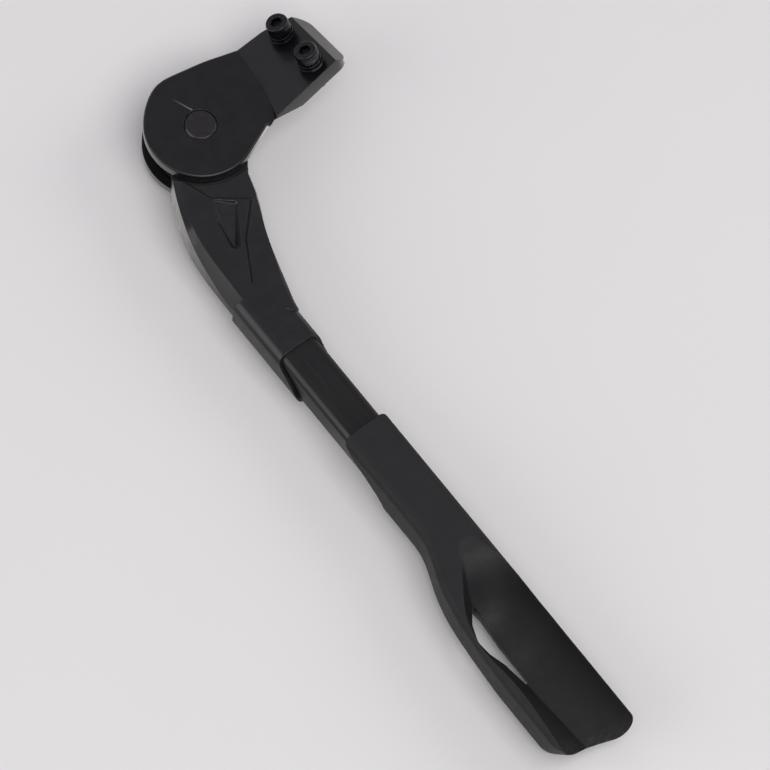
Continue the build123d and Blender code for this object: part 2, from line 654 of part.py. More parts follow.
# Detent spring
spring_seat = detent_axis.offset(PIN_D / 2 + PLUNGER_TIP_GAP + PLUNGER_LENGTH + SPRING_WIRE_D / 2)
coil_r = (PLUNGER_D - SPRING_WIRE_D) / 2 - PLUNGER_CLEARANCE
with BuildPart() as detent_spring:
    with BuildLine():
        coil_length = SPRING_TURNS * SPRING_PITCH
        coil = Helix(SPRING_PITCH, coil_length, coil_r, spring_seat.origin, spring_seat.z_dir)
    with BuildSketch(Plane(coil @ 0, z_dir=coil % 0)):
        RegularPolygon(SPRING_WIRE_D / 2, SPRING_WIRE_SIDES)
    sweep(is_frenet=True)
detent_spring.part.label = "detent_spring"
export_step(detent_spring.part, "parts/detent_spring.step")

# Extension tube
with BuildPart() as extension_tube:
    with BuildSketch(across_leg(TUBE_TOP)):
        RectangleRounded(TUBE_W, TUBE_DEPTH, TUBE_R)
        inner = 2 * TUBE_WALL
        RectangleRounded(TUBE_W - inner, TUBE_DEPTH - inner, TUBE_R - TUBE_WALL, mode=Mode.SUBTRACT)
    extrude(amount=TUBE_TOP - TUBE_BOTTOM)
extension_tube.part.label = "extension_tube"
export_step(extension_tube.part, "parts/extension_tube.step")

# Grub screw in the socket's back
with BuildPart() as grub_screw:
    grub_tip = grub_axis.offset(tube_half)
    grub_length = SOCKET_FIT + SOCKET_WALL + GRUB_BOSS_H
    with BuildSketch(grub_tip):
        Circle(GRUB_D / 2)
    extrude(amount=grub_length)
    with BuildSketch(grub_tip.offset(grub_length)):
        RegularPolygon(GRUB_HEX_FLATS / 2, 6, major_radius=False)
    extrude(amount=-GRUB_HEX_DEPTH, mode=Mode.SUBTRACT)
grub_screw.part.label = "grub_screw"
export_step(grub_screw.part, "parts/grub_screw.step")

# Foot: sleeve on the tube that flares into a scooped foot with a slot
foot_left = LEG_AXIS_X - foot_w / 2
foot_right = LEG_AXIS_X + foot_w / 2
foot_floor = TUBE_BOTTOM - FOOT_TRAVEL - FOOT_FLOOR_GAP
sole_left = (FOOT_LEFT, foot_floor + SOLE_LEFT)
sole_right = (foot_right, foot_floor + SOLE_RIGHT)
sole_slope = atan2(SOLE_LEFT - SOLE_RIGHT, foot_right - FOOT_LEFT)
left_reach = sole_left[1] + FOOT_LEFT_R / tan((radians(90) + sole_slope) / 2) + OVERSHOOT
right_reach = sole_right[1] + FOOT_RIGHT_R / tan((radians(90) - sole_slope) / 2) + OVERSHOOT
foot_blank_end = sole_right[1] - foot_depth
set_axis = Plane(LEG.from_local_coords((LEG_AXIS_X, SET_SCREW_Y, 0)), x_dir=LEG.x_dir, z_dir=-LEG.z_dir)
with BuildPart() as foot:
    with BuildSketch(LEG.offset(-foot_half)):
        with BuildLine():
            flare = Spline(
                (foot_left, foot_floor + FLARE_TOP),
                *[(x, foot_floor + height) for x, height in FLARE],
                (FOOT_LEFT, foot_floor + FLARE_BOTTOM),
                tangents=[(0, -1), (0, -1)],
            )
            Polyline(
                flare @ 1,
                (FOOT_LEFT, foot_blank_end),
                (foot_right, foot_blank_end),
                (foot_right, FOOT_TOP_FRONT),
                (foot_left, FOOT_TOP_FRONT),
                flare @ 0,
            )
        make_face()
    extrude(amount=foot_depth)
    for end in (0, -1):
        face = foot.faces().sort_by(Axis(LEG.origin, LEG.z_dir))[end]
        fillet(face.edges().sort_by(Axis(LEG.origin, LEG.y_dir))[1:-1], FOOT_EDGE_R)
    sole_plane = Plane(LEG.from_local_coords((0, FOOT_LEAN * foot_depth, -foot_depth)), LEG.x_dir, LEG.z_dir)
    with BuildSketch(sole_plane) as past_sole:
        with BuildLine():
            Polyline(
                (FOOT_LEFT - OVERSHOOT, left_reach),
                (FOOT_LEFT, left_reach),
                sole_left,
                sole_right,
                (foot_right, right_reach),
                (foot_right + OVERSHOOT, right_reach),
                (foot_right + OVERSHOOT, foot_blank_end - foot_depth),
                (FOOT_LEFT - OVERSHOOT, foot_blank_end - foot_depth),
                close=True,
            )
        make_face()
        fillet(past_sole.vertices().sort_by_distance((*sole_left, 0))[0], FOOT_LEFT_R)
        fillet(past_sole.vertices().sort_by_distance((*sole_right, 0))[0], FOOT_RIGHT_R)
    sole_dir = LEG.z_dir - LEG.y_dir * FOOT_LEAN
    extrude(amount=2 * foot_depth * hypot(1, FOOT_LEAN), dir=sole_dir, mode=Mode.SUBTRACT)
    above_foot = beyond_end(FOOT_TOP_FRONT, FOOT_TOP_BACK, foot_half, 1)
    extrude(above_foot, amount=foot_w, both=True, mode=Mode.SUBTRACT)
    with BuildSketch(set_axis):
        Circle(SET_BOSS_D / 2)
    extrude(amount=foot_half + SET_BOSS_H)
    with BuildSketch(across_leg(FOOT_TOP_FRONT)):
        RectangleRounded(TUBE_W + 2 * FOOT_FIT, TUBE_DEPTH + 2 * FOOT_FIT, TUBE_R + FOOT_FIT)
    extrude(amount=FOOT_TOP_FRONT - foot_floor, mode=Mode.SUBTRACT)
    with BuildSketch(set_axis):
        Circle(INSERT_D / 2 + INSERT_CLEARANCE)
    extrude(amount=foot_half + SET_BOSS_H, mode=Mode.SUBTRACT)
    for height, rim_x, rim_z, valley_x, valley_z, sag in SCOOP_ROWS:
        with BuildSketch(across_leg(foot_floor + height)):
            rim = (rim_x - LEG_AXIS_X, rim_z)
            rim_top = (rim[0] - SCOOP_LEAN * (SCOOP_FRONT - rim_z), SCOOP_FRONT)
            valley = (valley_x - LEG_AXIS_X, valley_z)
            right = (SCOOP_RIGHT_X - LEG_AXIS_X, SCOOP_RIGHT_Z)
            with BuildLine():
                Polyline(right, (right[0], SCOOP_FRONT), rim_top, rim, valley)
                SagittaArc(valley, right, -sag * hypot(right[0] - valley[0], right[1] - valley[1]))
            make_face()
    loft(mode=Mode.SUBTRACT)
    with BuildSketch(LEG) as slot:
        with BuildLine():
            Polyline(*[(x, foot_floor + height) for x, height in SLOT_CORNERS], close=True)
        make_face()
        fillet(slot.vertices(), SLOT_R)
    extrude(amount=foot_half, both=True, mode=Mode.SUBTRACT)
foot.part.label = "foot"
export_step(foot.part, "parts/foot.step")

# Threaded insert in the foot's boss
insert_inner = set_axis.offset(tube_half + FOOT_FIT)
insert_length = foot_half + SET_BOSS_H - tube_half - FOOT_FIT
with BuildPart() as foot_insert:
    with BuildSketch(insert_inner):
        Circle(INSERT_D / 2)
        Circle(SET_SCREW_D / 2 + SCREW_HOLE_CLEARANCE, mode=Mode.SUBTRACT)
    extrude(amount=insert_length)
foot_insert.part.label = "foot_insert"
export_step(foot_insert.part, "parts/foot_insert.step")

# Set screw that clamps the foot on the tube
set_screw_tip = set_axis.offset(tube_half + FOOT_FIT / 2)
set_screw_length = insert_length + SET_SCREW_PROUD
with BuildPart() as set_screw:
    with BuildSketch(set_screw_tip):
        Circle(SET_SCREW_D / 2)
    extrude(amount=set_screw_length)
    with BuildSketch(set_screw_tip.offset(set_screw_length)):
        RegularPolygon(SET_SCREW_HEX_FLATS / 2, 6, major_radius=False)
    extrude(amount=-SET_SCREW_HEX_DEPTH, mode=Mode.SUBTRACT)
set_screw.part.label = "set_screw"
export_step(set_screw.part, "parts/set_screw.step")
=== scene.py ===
# %% [markdown]
# # A rear kickstand in black, dressed for the studio
#
# This lesson gives every piece its finish, makes the knurls, hex holes and threads that the CAD leaves
# plain, and sets up the table, the lights and the camera.

# %% Load the frame
import json
import math

import bmesh
import bpy
from mathutils import Matrix, Vector


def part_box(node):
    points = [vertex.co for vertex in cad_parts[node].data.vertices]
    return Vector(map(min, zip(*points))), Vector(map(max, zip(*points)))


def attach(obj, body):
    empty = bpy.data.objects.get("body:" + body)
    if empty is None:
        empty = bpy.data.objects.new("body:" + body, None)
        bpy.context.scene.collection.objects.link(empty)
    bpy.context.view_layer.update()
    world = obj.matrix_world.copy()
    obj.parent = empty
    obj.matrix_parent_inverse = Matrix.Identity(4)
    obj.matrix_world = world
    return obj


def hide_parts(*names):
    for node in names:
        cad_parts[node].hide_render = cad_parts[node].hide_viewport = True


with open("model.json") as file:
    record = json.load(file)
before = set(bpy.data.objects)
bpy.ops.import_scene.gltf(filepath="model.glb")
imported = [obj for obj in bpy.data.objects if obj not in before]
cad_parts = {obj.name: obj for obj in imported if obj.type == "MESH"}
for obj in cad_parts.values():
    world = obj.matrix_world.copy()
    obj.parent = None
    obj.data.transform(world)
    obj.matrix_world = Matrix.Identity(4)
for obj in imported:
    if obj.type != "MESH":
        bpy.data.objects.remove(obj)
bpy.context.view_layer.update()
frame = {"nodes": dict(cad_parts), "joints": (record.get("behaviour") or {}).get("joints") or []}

MM_PER_M = 1000

nodes = frame["nodes"]
print("nodes:", ", ".join(sorted(nodes)))

# %% [markdown]
# ## Directions of the leg
#
# The stand is bolted on at a compound angle, so nothing on the leg lies along X, Y or Z. The joints in
# the record hold the two directions that matter: the hinge's axis runs through the pin, and the slide's
# axis runs down the tube. The third follows from them.

# %% Directions of the leg
joints = {joint["name"]: joint for joint in frame["joints"]}
pivot = Vector(joints["leg_pivot"]["pos_m"])
leg_front = -Vector(joints["leg_pivot"]["axis"]).normalized()
leg_down = Vector(joints["foot_slide"]["axis"]).normalized()
leg_right = (-leg_down).cross(leg_front).normalized()
leg_directions = (leg_right, -leg_down, leg_front)


def on_leg(right, up, front):
    """A place given in millimetres along the leg's own directions from the middle of the pin."""
    return pivot + (right * leg_right - up * leg_down + front * leg_front) / MM_PER_M


print("front of the leg faces", tuple(round(v, 3) for v in leg_front))

# %% [markdown]
# ## Camera
#
# A picture with so little perspective is taken from far away with a long lens. The two directions were
# found by lining the CAD model up with the picture, and the pin's front end fixes the place: it lies at
# a known point of the frame, at the camera's distance.

# %% Camera
IMAGE_SIZE = 770
FOCAL_PIXELS = 5076
SENSOR_WIDTH = 36
CAMERA_DISTANCE = 1.8
FAR_CLIP = 20
PIN_FRONT = 10
PIN_PIXEL = (200.7, 124.8)
TOWARD_CAMERA = Vector((-0.145, -0.81, -0.57)).normalized()
ROUGHLY_UP = Vector((0.615, -0.525, 0.589))

camera_up = (ROUGHLY_UP - ROUGHLY_UP.dot(TOWARD_CAMERA) * TOWARD_CAMERA).normalized()
camera_right = camera_up.cross(TOWARD_CAMERA)
pin_across, pin_down = [(pixel - IMAGE_SIZE / 2) / FOCAL_PIXELS for pixel in PIN_PIXEL]
to_camera = TOWARD_CAMERA - pin_across * camera_right + pin_down * camera_up
camera_place = on_leg(0, 0, PIN_FRONT) + CAMERA_DISTANCE * to_camera

camera_data = bpy.data.cameras.new("studio_camera")
camera_data.sensor_width = SENSOR_WIDTH
camera_data.lens = SENSOR_WIDTH * FOCAL_PIXELS / IMAGE_SIZE
camera_data.clip_end = FAR_CLIP
camera = bpy.data.objects.new("studio_camera", camera_data)
axes = Matrix((camera_right, camera_up, TOWARD_CAMERA)).transposed()
camera.matrix_world = Matrix.Translation(camera_place) @ axes.to_4x4()
bpy.context.scene.collection.objects.link(camera)
bpy.context.scene.camera = camera
print(f"lens {camera_data.lens:.0f} mm")

# %% [markdown]
# ## Nodes in few words
#
# Each finish below is a Principled shader fed by a few procedural textures. Short helpers keep the node
# code readable: they start a material, add a node, link or write a value, stretch a range, multiply, and mix
# colours or whole shaders.

# %% Nodes in few words
# The Mix node has a set of sockets for each type of data, all with the same names, so these are numbers.
MIX_UNDER = 6
MIX_OVER = 7
MIX_RESULT = 2


def new_finish(name, colour, roughness, metallic=0.0):
    """A material whose Principled shader has the given plain values."""
    finish = bpy.data.materials.new(name)
    finish.use_nodes = True
    shader = finish.node_tree.nodes["Principled BSDF"]
    shader.inputs["Base Color"].default_value = (*colour, 1)
    shader.inputs["Roughness"].default_value = roughness
    shader.inputs["Metallic"].default_value = metallic
    return finish, finish.node_tree, shader


def add(tree, kind, **settings):
    """A node of a kind, with its settings."""
    node = tree.nodes.new(kind)
    for name, value in settings.items():
        setattr(node, name, value)
    return node


def plug(tree, value, socket):
    """Links a value that comes from a node to a socket, or writes a plain value there."""
    if isinstance(value, bpy.types.NodeSocket):
        tree.links.new(value, socket)
    else:
        socket.default_value = value


def reckon(tree, operation, *values):
    """The result of a Math node."""
    node = add(tree, "ShaderNodeMath", operation=operation)
    for value, socket in zip(values, node.inputs):
        plug(tree, value, socket)
    return node.outputs["Value"]


def times(tree, first, *others):
    """The product of several values."""
    for other in others:
        first = reckon(tree, "MULTIPLY", first, other)
    return first


def spread(tree, value, low, high, to_low=0.0, to_high=1.0):
    """The value stretched from one range to another, and held at its ends."""
    node = add(tree, "ShaderNodeMapRange")
    for name, number in (("From Min", low), ("From Max", high), ("To Min", to_low), ("To Max", to_high)):
        node.inputs[name].default_value = number
    tree.links.new(value, node.inputs["Value"])
    return node.outputs["Result"]


def mix(tree, share, under, over):
    """A colour that goes from under to over, each a colour or a socket, as the share goes from 0 to 1."""
    node = add(tree, "ShaderNodeMix", data_type="RGBA")
    tree.links.new(share, node.inputs["Factor"])
    for index, colour in ((MIX_UNDER, under), (MIX_OVER, over)):
        plain = not isinstance(colour, bpy.types.NodeSocket)
        plug(tree, (*colour, 1) if plain else colour, node.inputs[index])
    return node.outputs[MIX_RESULT]


def either(tree, share, first, second):
    """The first shader where the share is 0 and the second where it is 1."""
    node = add(tree, "ShaderNodeMixShader")
    for value, socket in zip((share, first, second), node.inputs):
        tree.links.new(value, socket)
    return node.outputs["Shader"]


def feed(tree, shader, **values):
    """Links values to the shader's sockets; base_color stands for Base Color and so on."""
    for name, value in values.items():
        tree.links.new(value, shader.inputs[name.replace("_", " ").title()])


def dress(finish, *names):
    """Gives a finish to CAD nodes."""
    for name in names:
        nodes[name].data.materials.clear()
        nodes[name].data.materials.append(finish)


print("helpers for nodes are ready")

# %% [markdown]
# ## Places, clouds and edges
#
# Places are measured along the leg, from the middle of the pin, so that grain, lines and rings follow the
# piece and not the world. Clouds break a colour or a shine up. The Bevel node softens sharp edges for the
# light alone, and how far its normal leans away from the true one says where the edges are.

# %% Places, clouds and edges
ALONG_RIGHT = (1, 0, 0)
ALONG_LEG = (0, 1, 0)
ALONG_FRONT = (0, 0, 1)
NOISE_LOW = 0.3
NOISE_HIGH = 0.7
BEVEL_SAMPLES = 6
FLAT_AGREES = 0.995
EDGE_AGREES = 0.88


def dot(tree, vector, direction):
    """How far a vector reaches along a direction, which is another socket or a plain vector."""
    node = add(tree, "ShaderNodeVectorMath", operation="DOT_PRODUCT")
    tree.links.new(vector, node.inputs[0])
    plug(tree, direction, node.inputs[1])
    return node.outputs["Value"]


def leg_place(tree):
    """Each point's place in metres along the leg's right, up and front, from the middle of the pin."""
    offset = add(tree, "ShaderNodeVectorMath", operation="SUBTRACT")
    tree.links.new(add(tree, "ShaderNodeTexCoord").outputs["Object"], offset.inputs[0])
    offset.inputs[1].default_value = pivot
    joined = add(tree, "ShaderNodeCombineXYZ")
    for direction, socket in zip(leg_directions, joined.inputs):
        tree.links.new(dot(tree, offset.outputs["Vector"], direction), socket)
    return joined.outputs["Vector"]


def stretched(tree, place, scales):
    """A place scaled along the three directions, so that a texture on it is drawn out."""
    node = add(tree, "ShaderNodeMapping")
    node.inputs["Scale"].default_value = scales
    tree.links.new(place, node.inputs["Vector"])
    return node.outputs["Vector"]


def noise(tree, place, size_mm, detail=3.0):
    """A cloudy texture whose spots are about size_mm across."""
    texture = add(tree, "ShaderNodeTexNoise")
    texture.inputs["Scale"].default_value = MM_PER_M / size_mm
    texture.inputs["Detail"].default_value = detail
    tree.links.new(place, texture.inputs["Vector"])
    return texture.outputs["Fac"]


def clouds(tree, place, size_mm, detail=3.0, to_low=0.0, to_high=1.0):
    """Clouds that fill a whole range of values."""
    return spread(tree, noise(tree, place, size_mm, detail), NOISE_LOW, NOISE_HIGH, to_low, to_high)


def bump(tree, height, depth_mm, strength, under=None):
    """The normal of a surface that the height raises by up to depth_mm."""
    node = add(tree, "ShaderNodeBump")
    node.inputs["Strength"].default_value = strength
    node.inputs["Distance"].default_value = depth_mm / MM_PER_M
    tree.links.new(height, node.inputs["Height"])
    if under is not None:
        tree.links.new(under, node.inputs["Normal"])
    return node.outputs["Normal"]


def rounded_edges(tree, radius_mm):
    """The surface's normal with its sharp edges softened by a radius."""
    node = add(tree, "ShaderNodeBevel", samples=BEVEL_SAMPLES)
    node.inputs["Radius"].default_value = radius_mm / MM_PER_M
    return node.outputs["Normal"]


def edge_share(tree, rounded):
    """1 on sharp edges and 0 on flats: how far the softened normal leans away from the true one."""
    true_normal = add(tree, "ShaderNodeNewGeometry").outputs["Normal"]
    return spread(tree, dot(tree, rounded, true_normal), FLAT_AGREES, EDGE_AGREES)


def worn_edges(tree, place, rounded, size_mm, detail, low, high):
    """1 where a sharp edge is rubbed and 0 elsewhere; clouds between low and high break the wear up."""
    patches = spread(tree, noise(tree, place, size_mm, detail), low, high)
    return times(tree, edge_share(tree, rounded), patches)


print("helpers for finishes are ready")

# %% [markdown]
# ## Scratch and crease
#
# One thin scratch runs from the pin's rim across the bracket's cheek, where something has scraped the coat
# off, and a fine bent crease from the casting mould runs down the leg's front beside its pocket, with shade
# painted along it. Both are under half a millimetre wide, so they are drawn in the coat: as straight lines,
# for which a mask needs two dot products. One says how far along the line a point is, and the other how far
# beside it.

# %% Scratch and crease
# Points are in millimetres along the leg's right, up and front, and the other measures in metres.
SCRATCH_POINTS = ((1.0, 6.5, 10.0), (-2.1, 14.1, 10.0))
CREASE_POINTS = ((-3.0, -33.4, 8.8), (-13.7, -44.3, 8.8), (-22.0, -58.7, 8.8))
SCRATCH_HALF_WIDTH = 0.00016
CREASE_HALF_WIDTH = 0.00022
LINE_END = 0.0002
BELOW_FRONT = 0.0005
NEAR_FRONT = 0.0003


def in_metres(points):
    """Points as vectors in metres."""
    return [Vector(point) / MM_PER_M for point in points]


def on_line(tree, place, start, end, half_width):
    """Each point's way along a line, in metres from its start, and 1 for the points close to it."""
    along = (end - start).normalized()
    across = Vector((-along.y, along.x, 0))
    side = start.dot(across)
    offset = dot(tree, place, across)
    left = spread(tree, offset, side - 2 * half_width, side - half_width)
    right = spread(tree, offset, side + 2 * half_width, side + half_width)
    front = spread(tree, dot(tree, place, ALONG_FRONT), start.z - BELOW_FRONT, start.z - NEAR_FRONT)
    run = reckon(tree, "SUBTRACT", dot(tree, place, along), start.dot(along))
    return run, times(tree, left, right, front)


def scratch(tree, place):
    """1 along one straight scratch in the cheek's front, fading to its far end, and 0 elsewhere."""
    start, end = in_metres(SCRATCH_POINTS)
    run, near = on_line(tree, place, start, end, SCRATCH_HALF_WIDTH)
    starts = spread(tree, run, -LINE_END, 0)
    fades = spread(tree, run, (end - start).length, 0)
    return times(tree, near, starts, fades)


def crease(tree, place):
    """1 along the bent crease beside the pocket in the leg's front, and 0 elsewhere."""
    points = in_metres(CREASE_POINTS)
    lines = []
    for start, end in zip(points, points[1:]):
        run, near = on_line(tree, place, start, end, CREASE_HALF_WIDTH)
        length = (end - start).length
        starts = spread(tree, run, -LINE_END, 0)
        stops = spread(tree, run, length + LINE_END, length)
        lines.append(times(tree, near, starts, stops))
    return reckon(tree, "MAXIMUM", *lines)


print("scratch and crease are ready")

# %% [markdown]
# ## Black coat on the castings
#
# The bracket and the upper leg are die castings with a smooth black coat. Its black is deep, so nearly all
# that shows is what the coat mirrors: the pale table in the sides and a dim room in the fronts. Sprayed
# coats are never quite flat, so a millimetre-wide orange peel goes in as bump. Castings have no knife
# edges either, so the light sees them rounded, and the coat is rubbed thin there.

# %% Black coat on the castings
COAT_EDGE_RADIUS = 0.35
RUBBED_COAT = (0.035, 0.034, 0.035)
BARE_METAL = (0.16, 0.155, 0.155)
BRACKET_BLACKS = ((0.0052, 0.0051, 0.0062), (0.0072, 0.007, 0.0082))
LEG_BLACKS = ((0.0095, 0.009, 0.01), (0.0125, 0.012, 0.013))


def black_coat(name, dark, light, marks=None, grooves_and_shade=None):
    """A deep black coat that changes a little between two blacks; marks bares it, and the groove mask grooves
    it and paints shade into the groove.
    """
    finish, tree, shader = new_finish(name, light, roughness=0.3)
    place = leg_place(tree)
    rounded = rounded_edges(tree, COAT_EDGE_RADIUS)
    worn = worn_edges(tree, place, rounded, size_mm=1.2, detail=4, low=0.42, high=0.66)
    colour = mix(tree, clouds(tree, place, size_mm=9, detail=4), dark, light)
    colour = mix(tree, worn, colour, RUBBED_COAT)
    peel = noise(tree, place, size_mm=1.1, detail=2)
    normal = bump(tree, peel, depth_mm=0.035, strength=0.22, under=rounded)
    if marks:
        bared = marks(tree, place)
        colour = mix(tree, bared, colour, BARE_METAL)
        normal = bump(tree, bared, depth_mm=-0.06, strength=0.6, under=normal)
    if grooves_and_shade:
        groove = grooves_and_shade(tree, place)
        normal = bump(tree, groove, depth_mm=-0.3, strength=1.0, under=normal)
        # Painted shade: the specular is turned down along the groove, so the crease shows darker than its
        # bump makes it.
        crease_painted_shade = spread(tree, groove, 0, 1, to_low=0.5, to_high=0.1)
        tree.links.new(crease_painted_shade, shader.inputs["Specular IOR Level"])
    shine = clouds(tree, place, size_mm=4, detail=6, to_low=0.25, to_high=0.34)
    feed(tree, shader, base_color=colour, roughness=shine, normal=normal)
    return finish


dress(black_coat("satin_black_bracket", *BRACKET_BLACKS, marks=scratch), "bracket")
dress(black_coat("satin_black_leg", *LEG_BLACKS, grooves_and_shade=crease), "upper_leg")
print("coated the bracket and the upper leg")

# %% [markdown]
# ## Anodised tube
#
# The tube is drawn aluminium, so fine lines run along it under the black anodising, which has a warmer
# black than the coat. Clouds that are stretched fifty times along the leg make such lines. Where the foot
# is pushed up and down, its mouth polishes the tube, so the shine changes there.

# %% Anodised tube
TUBE_BLACK = (0.0055, 0.0046, 0.0044)
TUBE_LINE_BLACKS = ((0.004, 0.0034, 0.0034), (0.0065, 0.0055, 0.0052))
TUBE_EDGE_RADIUS = 0.25
LINE_STRETCH = 0.02
PLAIN_ABOVE = -0.112
RUBBED_BELOW = -0.128
POLISH = -0.08

anodised, tree, shader = new_finish("black_anodised_tube", TUBE_BLACK, roughness=0.3)
place = leg_place(tree)
lines = clouds(tree, stretched(tree, place, (1, LINE_STRETCH, 1)), size_mm=0.45)
colour = mix(tree, lines, *TUBE_LINE_BLACKS)
rubbed = spread(tree, dot(tree, place, ALONG_LEG), PLAIN_ABOVE, RUBBED_BELOW)
dull = spread(tree, lines, 0, 1, to_low=0.3, to_high=0.38)
shine = reckon(tree, "MULTIPLY_ADD", rubbed, POLISH, dull)
rounded = rounded_edges(tree, TUBE_EDGE_RADIUS)
normal = bump(tree, lines, depth_mm=0.012, strength=0.2, under=rounded)
feed(tree, shader, base_color=colour, roughness=shine, normal=normal)
dress(anodised, "extension_tube")
print("anodised the tube")

# %% [markdown]
# ## Moulded foot
#
# The foot is plastic from a mould with a fine spark-eroded grain, so it shines less than the coat. The
# sole's plane is slanted in two ways; a dot product with its normal gives each point's height above it, and
# within a few millimetres of the sole the ground has scuffed the black grey.

# %% Moulded foot
SOLE_NORMAL = Vector((0.306, 1.0, 0.45))
SOLE_OFFSET = -0.2722
SCUFF_HEIGHT = 0.007
FOOT_EDGE_RADIUS = 0.45
FOOT_BLACK = (0.0065, 0.0062, 0.007)
FOOT_MOTTLE_BLACKS = ((0.005, 0.0047, 0.0054), (0.008, 0.0076, 0.0084))
RUBBED_PLASTIC = (0.04, 0.039, 0.039)
SCUFFED_PLASTIC = (0.034, 0.033, 0.032)
PLASTIC_REFLECTS = 0.42
DRAG_STRETCH = 0.25

plastic, tree, shader = new_finish("grained_black_plastic", FOOT_BLACK, roughness=0.58)
shader.inputs["Specular IOR Level"].default_value = PLASTIC_REFLECTS
place = leg_place(tree)
rounded = rounded_edges(tree, FOOT_EDGE_RADIUS)
near_sole = spread(tree, dot(tree, place, SOLE_NORMAL), SOLE_OFFSET + SCUFF_HEIGHT, SOLE_OFFSET)
drags = noise(tree, stretched(tree, place, (DRAG_STRETCH, 1, 1)), size_mm=0.9, detail=5)
scuffed = times(tree, near_sole, spread(tree, drags, low=0.5, high=0.72))
worn = worn_edges(tree, place, rounded, size_mm=1.5, detail=4, low=0.45, high=0.7)
mottle = clouds(tree, place, size_mm=6, detail=5)
colour = mix(tree, mottle, *FOOT_MOTTLE_BLACKS)
colour = mix(tree, worn, colour, RUBBED_PLASTIC)
colour = mix(tree, scuffed, colour, SCUFFED_PLASTIC)
shine = clouds(tree, place, size_mm=3, detail=4, to_low=0.54, to_high=0.64)
grain = noise(tree, place, size_mm=0.4, detail=2)
normal = bump(tree, grain, depth_mm=0.03, strength=0.35, under=rounded)
normal = bump(tree, scuffed, depth_mm=-0.04, strength=0.25, under=normal)
feed(tree, shader, base_color=colour, roughness=shine, normal=normal)
dress(plastic, "foot")
print("grained the foot")

# %% [markdown]
# ## Steel, brass and the washers inside
#
# The screws and washers are steel blackened in a hot bath: a metal with a dark colour, which keeps its
# shine and is rubbed bright on its edges. The parts inside stay bare: spring steel, a brass insert and two
# natural plastic washers. One function makes all the metals, because they differ only in two colours, a
# shine and how bright their edges are.

# %% Steel, brass and the washers inside
METAL_EDGE_RADIUS = 0.12
SMOOTHER = 0.05
ROUGHER = 0.06
NATURAL = (0.62, 0.59, 0.52)
NATURAL_CLOUDS = ((0.56, 0.53, 0.46), (0.68, 0.65, 0.58))


def metal(name, dark, light, edge, roughness):
    """A metal finish with fine mottling between two colours and rubbed edges."""
    finish, tree, shader = new_finish(name, light, roughness, metallic=1.0)
    place = leg_place(tree)
    mottle = clouds(tree, place, size_mm=0.8, detail=5)
    rounded = rounded_edges(tree, METAL_EDGE_RADIUS)
    worn = worn_edges(tree, place, rounded, size_mm=0.7, detail=3, low=0.35, high=0.6)
    colour = mix(tree, worn, mix(tree, mottle, dark, light), edge)
    shine = spread(tree, mottle, 0, 1, roughness - SMOOTHER, roughness + ROUGHER)
    grain = noise(tree, place, size_mm=0.25, detail=2)
    normal = bump(tree, grain, depth_mm=0.008, strength=0.2, under=rounded)
    feed(tree, shader, base_color=colour, roughness=shine, normal=normal)
    return finish


black_steel = metal(
    "blackened_steel",
    dark=(0.03, 0.03, 0.034),
    light=(0.05, 0.05, 0.056),
    edge=(0.16, 0.16, 0.165),
    roughness=0.34,
)
spring_steel = metal(
    "spring_steel",
    dark=(0.28, 0.28, 0.29),
    light=(0.4, 0.4, 0.41),
    edge=(0.5, 0.5, 0.5),
    roughness=0.3,
)
brass = metal(
    "turned_brass",
    dark=(0.55, 0.4, 0.16),
    light=(0.72, 0.55, 0.26),
    edge=(0.8, 0.65, 0.35),
    roughness=0.28,
)
dress(black_steel, "mounting_screws", "spring_washers", "flat_washers", "grub_screw", "set_screw")
dress(spring_steel, "pin_circlip", "detent_spring", "detent_plunger")
dress(brass, "foot_insert")

natural, tree, shader = new_finish("natural_plastic", NATURAL, roughness=0.5)
place = leg_place(tree)
colour = mix(tree, noise(tree, place, size_mm=4), *NATURAL_CLOUDS)
normal = bump(tree, noise(tree, place, size_mm=0.5, detail=2), depth_mm=0.02, strength=0.3)
feed(tree, shader, base_color=colour, normal=normal)
dress(natural, "front_thrust_washer", "rear_thrust_washer")
print("finished the small parts")

# %% [markdown]
# ## Turned pin
#
# The pin's end is faced on a lathe, so fine rings run around its middle. A ring texture around the pin's
# axis gives them; the place along the axis is flattened to nothing first, so that the rings are cylinders.

# %% Turned pin
RING_PITCH = 0.00032
RING_WOBBLE = 0.6
# The ring texture takes the sine of 20 times the distance, so it has this many rings in one unit.
RINGS_PER_UNIT = 20 / (2 * math.pi)
PIN_EDGE_RADIUS = 0.15
PIN_BLACK = (0.066, 0.06, 0.066)
PIN_RING_BLACKS = ((0.057, 0.052, 0.057), (0.075, 0.068, 0.075))
BRIGHT_PIN_EDGE = (0.2, 0.195, 0.195)

pin_finish, tree, shader = new_finish("turned_black_pin", PIN_BLACK, roughness=0.36, metallic=1.0)
place = leg_place(tree)
turning = add(tree, "ShaderNodeTexWave", wave_type="RINGS", rings_direction="SPHERICAL")
turning.inputs["Scale"].default_value = 1 / (RING_PITCH * RINGS_PER_UNIT)
turning.inputs["Distortion"].default_value = RING_WOBBLE
tree.links.new(stretched(tree, place, (1, 1, 0)), turning.inputs["Vector"])
cut = turning.outputs["Fac"]
rounded = rounded_edges(tree, PIN_EDGE_RADIUS)
colour = mix(tree, cut, *PIN_RING_BLACKS)
colour = mix(tree, edge_share(tree, rounded), colour, BRIGHT_PIN_EDGE)
shine = clouds(tree, place, size_mm=1.6, detail=4, to_low=0.32, to_high=0.42)
normal = bump(tree, cut, depth_mm=0.006, strength=0.25, under=rounded)
feed(tree, shader, base_color=colour, roughness=shine, normal=normal)
dress(pin_finish, "pivot_pin")
print("turned the pin")

